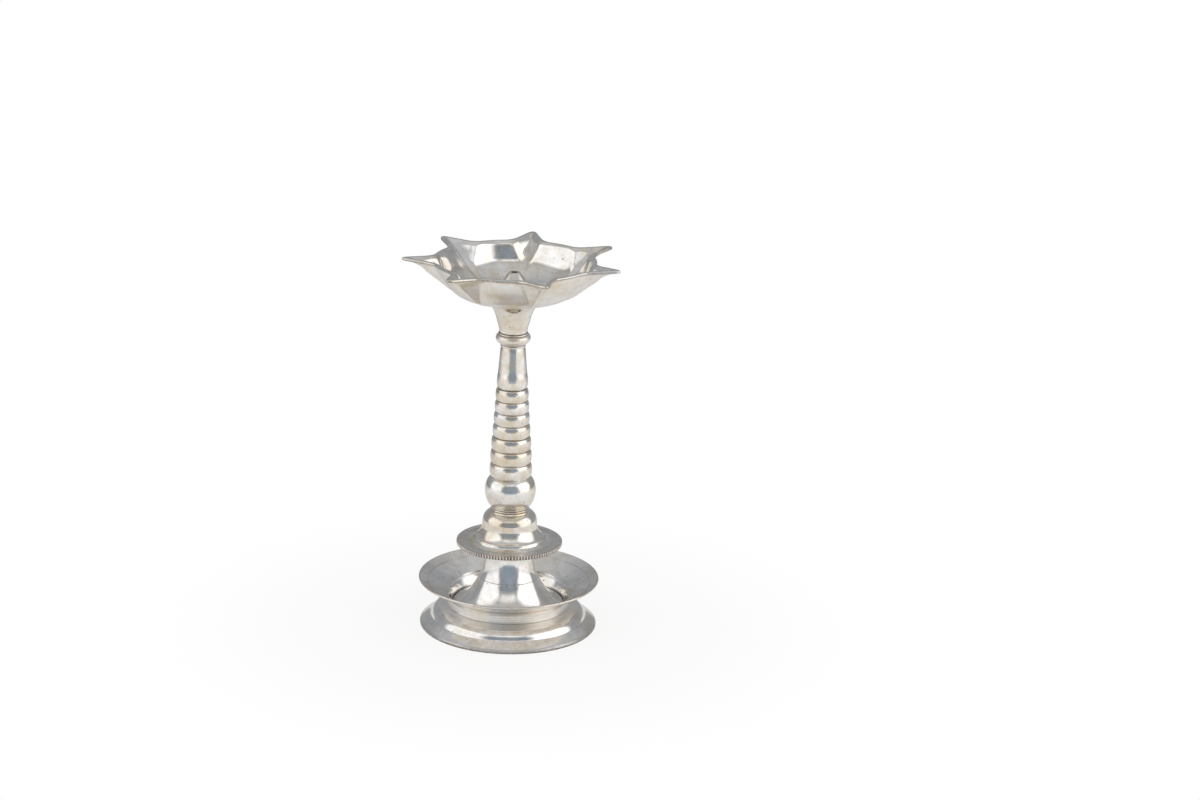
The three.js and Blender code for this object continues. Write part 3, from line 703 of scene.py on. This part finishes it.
# How the bowl's outside and lip are rubbed, by radius in millimetres, and how much grime they keep.
bowlMarks = {
    "creaseWear": 0.9,
    "footWear": 0.65,
    "footFrom": 19.0,
    "footTo": 25.0,
    "spoutWear": 0.5,
    "spoutFrom": 50.0,
    "spoutTo": 53.0,
    "grimeKept": 0.3,
    "lipMarks": (0.3, 0.75),
}


# Where one column of a row lies, in the plane of its spout: x along the ridge, y across it.
# The nose and the kink are curves with one handle, so their middle lies halfway to that handle.
def bowlPoint(row, column):
    wallRadius, wallHeight, ridgeRadius, ridgeHeight, halfAngle, kinkRound, noseRound = row
    counts = bowlShape["columns"]
    side = -1 if column < 0 else 1
    column = abs(column)
    kink = Vector((wallRadius * math.cos(halfAngle), wallRadius * math.sin(halfAngle)))
    slant = math.atan2(kink.y, max(0.01, ridgeRadius - kink.x))
    tip = Vector((ridgeRadius + 0.5 * noseRound * math.cos(slant), 0))
    away = kink - tip
    length = away.length
    away = away / length
    kinkRound, noseRound = min(kinkRound, 0.5 * length), min(noseRound, 0.5 * length)
    noseEnd, facetEnd = tip + away * noseRound, kink - away * kinkRound
    wallStart = halfAngle + kinkRound / wallRadius
    if column <= counts["nose"]:
        t = 0.5 + 0.5 * column / counts["nose"]
        mirrored = Vector((noseEnd.x, -noseEnd.y))
        place = mirrored * (1 - t) ** 2 + tip * 2 * t * (1 - t) + noseEnd * t * t
        share = noseRound / length * ((1 - t) ** 2 + t * t)
    elif column <= counts["nose"] + counts["facet"]:
        t = (column - counts["nose"]) / counts["facet"]
        place = noseEnd.lerp(facetEnd, t)
        share = mix(noseRound, length - kinkRound, t) / length
    elif column <= counts["nose"] + counts["facet"] + counts["kink"]:
        t = (column - counts["nose"] - counts["facet"]) / counts["kink"]
        wallPoint = Vector((wallRadius * math.cos(wallStart), wallRadius * math.sin(wallStart)))
        place = facetEnd * (1 - t) ** 2 + kink * 2 * t * (1 - t) + wallPoint * t * t
        share = 1 - kinkRound / length * (1 - t) ** 2
    else:
        t = (column - counts["nose"] - counts["facet"] - counts["kink"]) / counts["wall"]
        angle = mix(wallStart, math.pi / bowlShape["spouts"], t)
        place = Vector((wallRadius * math.cos(angle), wallRadius * math.sin(angle)))
        share = 1.0
    return place.x, side * place.y, mix(ridgeHeight, wallHeight, share)


def bowlRows():
    b = bowlShape
    below, above = [(bore, height, bore, height, 0.06, 0.1, 0.1) for height in (b["underside"], b["floor"])]
    outside, inside = [smoothLine(b[name], b["rowStep"]) for name in ("outside", "inside")]
    return [below] + outside + b["lip"] + inside + [above]


# The bowl starts as a spun ring, and each of its vertices then moves to its place on the star.
def makeBowl():
    b = bowlShape
    rows = bowlRows()
    half = sum(b["columns"].values())
    steps = 2 * half * b["spouts"]
    bm = bmesh.new()
    rowLayer = bm.verts.layers.int.new("row")
    wear, grime = [bm.verts.layers.float.new(name) for name in ("wear", "grime")]
    verts = []
    for n, row in enumerate(rows):
        vert = bm.verts.new((row[0] * mm, 0, row[1] * mm))
        vert[rowLayer] = n
        verts.append(vert)
    for a, c in zip(verts, verts[1:] + verts[:1]):
        bm.edges.new((a, c))
    spinOutline(bm, steps)
    for vert in bm.verts:
        step = round(math.atan2(vert.co.y, vert.co.x) / (2 * math.pi) * steps) % steps
        spout, column = divmod(step + half, 2 * half)
        x, y, z = bowlPoint(rows[vert[rowLayer]], column - half)
        turned = Matrix.Rotation(b["firstSpout"] + spout * 2 * math.pi / b["spouts"], 2) @ Vector((x, y))
        vert.co = Vector((turned.x, turned.y, z)) * mm
    bmesh.ops.recalc_face_normals(bm, faces=bm.faces)
    markBends(bm, wear, grime)
    lip = rows.index(b["lip"][0])
    rubOutside(bm, rowLayer, lip, wear, grime)
    for face in bm.faces:
        face.material_index = 1 if max(vert[rowLayer] for vert in face.verts) <= lip else 0
    bm.verts.layers.int.remove(rowLayer)
    bowl = makePiece(bm, "oilBowl", "bowl", ["oil_bowl"], castSilver)
    bowl.data.materials.append(rubbedSilver)


def rubOutside(bm, rowLayer, lip, wear, grime):
    m = bowlMarks
    for vert in bm.verts:
        if vert[rowLayer] < lip:
            out = vert.co.xy.length / mm
            foot = m["footWear"] * ramp(-out, -m["footTo"], -m["footFrom"])
            spout = m["spoutWear"] * ramp(out, m["spoutFrom"], m["spoutTo"])
            vert[wear] = max(m["creaseWear"] * vert[wear], foot, spout)
            vert[grime] = m["grimeKept"] * vert[grime]
        elif vert[rowLayer] == lip:
            vert[wear], vert[grime] = m["lipMarks"]


# How sharply the bowl's faces meet, in radians for each millimetre, for it to wear or to hold grime.
bendMarks = {
    "crest": (1.2, 3.5),
    "hollow": (0.8, 3.0),
    "crestWear": 0.7,
    "hollowGrime": 0.5,
    "leastApart": 0.05,
    "rounds": 2,              # how often the marks spread to the next vertex, and how much they keep
    "kept": 0.6,
}


# Marks crests and hollows of a mesh from how its faces meet, then lets the marks fade outwards.
def markBends(bm, wear, grime):
    look = bendMarks
    for vert in bm.verts:
        turn = 0.0
        for edge in vert.link_edges:
            if len(edge.link_faces) == 2:
                here, there = [face.calc_center_median() for face in edge.link_faces]
                apart = (here - there).length / mm
                bend = edge.calc_face_angle_signed(0.0) / max(apart, look["leastApart"])
                turn = bend if abs(bend) > abs(turn) else turn
        vert[wear] = look["crestWear"] * ramp(turn, *look["crest"])
        vert[grime] = look["hollowGrime"] * ramp(-turn, *look["hollow"])
    for layer in (wear, grime):
        for _ in range(look["rounds"]):
            found = {}
            for vert in bm.verts:
                beside = [look["kept"] * edge.other_vert(vert)[layer] for edge in vert.link_edges]
                found[vert] = max([vert[layer]] + beside)
            for vert, value in found.items():
                vert[layer] = value


coneShape = {
    "base": 12.4,
    "bottom": 170.2,
    "top": 181.3,
    "hole": 1.3,
    "roof": 177.8,
    "slope": [(11.4, 171.5), (9.4, 173.5), (7.1, 176.3), (5.0, 178.7), (3.6, 180.3), (2.9, 181.05, 0.12)],
    "steps": 96,
}


def makeCone():
    c = coneShape
    outline = [(bore, c["bottom"], 0.1), (c["base"] - 0.2, c["bottom"], 0.08, 0.9), (c["base"], 170.6, 0.1)]
    outline += c["slope"]
    outline += [
        (2.6, c["top"], 0.1), (c["hole"], c["top"], 0.12, 1.0), (c["hole"], c["roof"], 0.1),
        (bore, c["roof"], 0.1)]
    turnPiece("wickCone", "cone", "wick_cone", outline, steps=c["steps"])


makeBowl()
makeCone()
print("stage: bowl and cone made")


# The pieces that keep their CAD shape get their finish here.
plainParts = {
    "foot_plate": (wornBrass, "worn_brass"),
    "bell_boss": (brightSteel, "steel"),
    "clamp_bolt": (brightSteel, "steel"),
    "clamp_washer": (brightSteel, "steel"),
    "stem_rod": (brightSteel, "steel"),
    "lower_nut": (brightSteel, "steel"),
    "upper_nut": (brightSteel, "steel"),
    "stem_washer": (darkGasket, "gasket"),
    "bowl_washer": (darkGasket, "gasket"),
    "cone_washer": (darkGasket, "gasket"),
}
for node, (material, slotName) in plainParts.items():
    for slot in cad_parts[node].material_slots:
        slot.material = material
print("stage: inner pieces finished")


# The studio: a pale floor that turns white further out, a soft box on each side of the lamp and one above the
# camera, and a blue-grey screen round the camera. A second screen lies on the floor before the lamp as
# painted shade that only reflections see. Lengths in the studio are in metres.
softBoxes = {
    "left": {"glow": 0.8, "azimuth": -72, "elevation": 24, "distance": 1.4, "width": 2.0, "height": 1.9},
    "right": {"glow": 1.1, "azimuth": 72, "elevation": 24, "distance": 1.4, "width": 2.0, "height": 1.9},
    "top": {"glow": 0.5, "azimuth": 0, "elevation": 47, "distance": 1.5, "width": 1.3, "height": 0.55},
}
softEdge = {"X": 0.18, "Y": 0.28}  # the share of its width and height over which each edge fades
lampMiddle = 0.1  # the height that the soft boxes face


# A place seen from the lamp: round from the camera's side, and above the floor, in degrees.
def aroundLamp(azimuth, elevation, distance):
    a, e = math.radians(azimuth), math.radians(elevation)
    return (distance * math.sin(a) * math.cos(e), -distance * math.cos(a) * math.cos(e),
            distance * math.sin(e) + lampMiddle)


# The cloth of a soft box is brightest in the middle and fades toward its edges. A glow of 1 looks white.
def addSoftBox(name, glow, azimuth, elevation, distance, width, height):
    light = bpy.data.lights.new(name, "AREA")
    light.shape = "RECTANGLE"
    light.size, light.size_y = width, height
    light.energy = glow * math.pi * width * height
    light.use_nodes = True
    tree = light.node_tree
    tree.nodes.clear()
    across = addNode(tree, "SeparateXYZ", {0: addNode(tree, "NewGeometry", {}).outputs["Parametric"]})
    share = 1.0
    for axis, soft in softEdge.items():
        offset = addNode(tree, "Math", {0: across.outputs[axis], 1: 0.5}, operation="SUBTRACT")
        offset = addNode(tree, "Math", {0: offset}, operation="ABSOLUTE")
        fade = addNode(tree, "MapRange", {"Value": offset, "From Min": 0.5, "From Max": 0.5 - soft},
                       interpolation_type="SMOOTHSTEP")
        share = addNode(tree, "Math", {0: share, 1: fade}, operation="MULTIPLY")
    glowing = addNode(tree, "Emission", {"Strength": share})
    addNode(tree, "OutputLight", {"Surface": glowing})
    box = bpy.data.objects.new(name, light)
    box.location = aroundLamp(azimuth, elevation, distance)
    box.rotation_euler = (box.location - Vector((0, 0, lampMiddle))).to_track_quat("Z", "Y").to_euler()
    bpy.context.scene.collection.objects.link(box)


def addSheet(name, material, corners):
    bm = bmesh.new()
    bm.faces.new([bm.verts.new(corner) for corner in corners])
    mesh = bpy.data.meshes.new(name)
    bm.to_mesh(mesh)
    bm.free()
    mesh.materials.append(material)
    sheet = bpy.data.objects.new(name, mesh)
    bpy.context.scene.collection.objects.link(sheet)
    return sheet


screenShape = {
    "colour": "#c0cdd9",
    "halfWidth": 0.92,
    "back": -1.6,             # at the camera
    "top": 1.15,
    "frontHalfWidth": 0.3,    # the lying screen narrows toward the lamp
    "front": -0.62,
    "above": 0.001,
}


# Painted board: matt, with no gloss of its own. One stands behind the camera, and one lies on the floor
# before it as painted shade that only reflections see.
def addScreen():
    s = screenShape
    material, tree = newMaterial("mattBoard")
    matt = addNode(tree, "BsdfDiffuse", {"Color": toLinear(s["colour"])})
    addNode(tree, "OutputMaterial", {"Surface": matt})
    wide, narrow, back, front, above = s["halfWidth"], s["frontHalfWidth"], s["back"], s["front"], s["above"]
    upright = [(-wide, back, 0.0), (wide, back, 0.0), (wide, back, s["top"]), (-wide, back, s["top"])]
    # painted shade: a sheet lying on the floor before the lamp that only reflections see
    lying = [(-narrow, front, above), (narrow, front, above), (wide, back, above), (-wide, back, above)]
    for name, corners in (("cameraScreen", upright), ("floorShadeScreen", lying)):
        screen = addSheet(name, material, corners)
        screen.visible_camera = False
        screen.visible_shadow = False


floorLook = {
    "board": "#efebe5",
    # painted shade: the grey that the metal mirrors of the floor behind the lamp
    "backPaintedShade": "#8d959e",   # what the metal mirrors of the floor behind the lamp
    "white": "#ffffff",
    "seenWhite": (0.03, 0.2),      # where the camera sees it turn white, out from the lamp
    "seenLeast": 0.88,
    "mirroredWhite": (0.04, 0.4),  # where the metal sees it turn white
    "mirroredLeast": 0.45,
    # painted shade: how far behind the lamp the mirrored floor loses its white and turns grey
    "behind": (0.05, 0.5),         # how far behind the lamp it darkens, and what is left of the white there
    "behindLeft": 0.15,
    # painted light: the floor the metal mirrors keeps less white toward the left
    "sideways": (-0.4, 0.3),       # from left to right it brightens
    "leftShare": 0.75,
    "halfSize": 30,
    "under": -0.0002,
}


# Studio floor: matt pale board near the lamp, which keeps its shadow, and plain white further out. In the
# metal's reflections it also carries painted shade behind the lamp and painted light that whitens it from
# left to right.
def addFloor():
    f = floorLook
    material, tree = newMaterial("paleFloor")
    place = addNode(tree, "TexCoord", {}).outputs["Object"]
    away = addNode(tree, "VectorMath", {0: place}, operation="LENGTH")
    rays = addNode(tree, "LightPath", {})
    nearWhite = addNode(tree, "MapRange", {
        "Value": away, "From Min": f["seenWhite"][0], "From Max": f["seenWhite"][1],
        "To Min": f["seenLeast"]}, interpolation_type="SMOOTHSTEP")
    farWhite = addNode(tree, "MapRange", {
        "Value": away, "From Min": f["mirroredWhite"][0], "From Max": f["mirroredWhite"][1],
        "To Min": f["mirroredLeast"]})
    seen = addNode(tree, "Math", {0: nearWhite, 1: rays.outputs["Is Camera Ray"]}, operation="MULTIPLY")
    spot = addNode(tree, "SeparateXYZ", {0: place})
    shade = addNode(tree, "MapRange", {
        "Value": spot.outputs["Y"], "From Min": f["behind"][0], "From Max": f["behind"][1]})
    # painted light: the mirrored floor is less white on the left
    lit = addNode(tree, "MapRange", {
        "Value": spot.outputs["X"], "From Min": f["sideways"][0], "From Max": f["sideways"][1],
        "To Min": f["leftShare"]})
    unshaded = addNode(tree, "MapRange", {"Value": shade, "To Min": 1.0, "To Max": f["behindLeft"]})
    for share in (lit, unshaded):
        farWhite = addNode(tree, "Math", {0: farWhite, 1: share}, operation="MULTIPLY")
    mirrored = addNode(tree, "Math", {
        0: rays.outputs["Is Glossy Ray"], 1: rays.outputs["Is Transmission Ray"]}, operation="MAXIMUM")
    whiteness = addNode(tree, "Math", {0: farWhite, 1: mirrored, 2: seen}, operation="MULTIPLY_ADD")
    # painted shade behind the lamp, in reflections only
    backShade = addNode(tree, "Math", {0: shade, 1: mirrored}, operation="MULTIPLY")
    board = addNode(tree, "Mix", {
        0: backShade, 6: toLinear(f["board"]), 7: toLinear(f["backPaintedShade"])}, data_type="RGBA")
    matt = addNode(tree, "BsdfDiffuse", {"Color": board})
    white = addNode(tree, "Emission", {"Color": toLinear(f["white"]), "Strength": 1.0})
    both = addNode(tree, "MixShader", {0: whiteness, 1: matt, 2: white})
    addNode(tree, "OutputMaterial", {"Surface": both})
    size, under = f["halfSize"], f["under"]
    addSheet("floor", material, [
        (-size, -size, under), (size, -size, under), (size, size, under), (-size, size, under)])


roomLook = {
    "horizon": "#a2a5aa",
    "sky": "#9da0a5",
    "zenith": "#cbcdd0",
    "seen": "#ffffff",
    "lowBand": (0.05, 0.35),  # how high up, as the sine of the angle, one tone turns into the next
    "highBand": (0.45, 0.95),
}


# The walls and ceiling of the room, which the camera sees as white.
def addRoom():
    r = roomLook
    world = bpy.data.worlds.new("studioRoom")
    bpy.context.scene.world = world
    world.use_nodes = True
    tree = world.node_tree
    tree.nodes.clear()
    toward = addNode(tree, "TexCoord", {}).outputs["Generated"]
    height = addNode(tree, "SeparateXYZ", {0: toward}).outputs["Z"]
    room = toLinear(r["horizon"])
    for (low, high), tone in ((r["lowBand"], r["sky"]), (r["highBand"], r["zenith"])):
        share = addNode(tree, "MapRange", {"Value": height, "From Min": low, "From Max": high})
        room = addNode(tree, "Mix", {0: share, 6: room, 7: toLinear(tone)}, data_type="RGBA")
    cameraRay = addNode(tree, "LightPath", {}).outputs["Is Camera Ray"]
    seen = addNode(tree, "Mix", {0: cameraRay, 6: room, 7: toLinear(r["seen"])}, data_type="RGBA")
    shader = addNode(tree, "Background", {"Color": seen})
    addNode(tree, "OutputWorld", {"Surface": shader})


# The camera of the photograph. Turns are in radians, place and clip in metres, lens and sensor in mm.
camera = {
    "place": (0.0, -1.42442, 0.55711),
    "yaw": -0.0012,
    "pitch": 0.3099,
    "roll": 0.0190,
    "lens": 91.224,
    "sensor": 36,
    "shift": (0.07667, 0.025),
    "clip": (0.05, 100),
}


def addCamera():
    data = bpy.data.cameras.new("photoCamera")
    data.sensor_width = camera["sensor"]
    data.lens = camera["lens"]
    data.shift_x, data.shift_y = camera["shift"]
    data.clip_start, data.clip_end = camera["clip"]
    yaw, pitch, roll = camera["yaw"], camera["pitch"], camera["roll"]
    forward = Vector((math.sin(yaw) * math.cos(pitch), math.cos(yaw) * math.cos(pitch), -math.sin(pitch)))
    right = Vector((math.cos(yaw), -math.sin(yaw), 0))
    up = right.cross(forward)
    across = right * math.cos(roll) + up * math.sin(roll)
    upward = up * math.cos(roll) - right * math.sin(roll)
    turned = Matrix((across, upward, -forward)).transposed().to_4x4()
    eye = bpy.data.objects.new("photoCamera", data)
    eye.matrix_world = Matrix.Translation(camera["place"]) @ turned
    bpy.context.scene.collection.objects.link(eye)
    bpy.context.scene.camera = eye


addFloor()
addRoom()
addScreen()
for side, box in softBoxes.items():
    addSoftBox(side + "SoftBox", **box)
addCamera()
bpy.context.scene.view_settings.view_transform = "Standard"
print("stage: studio and camera set")
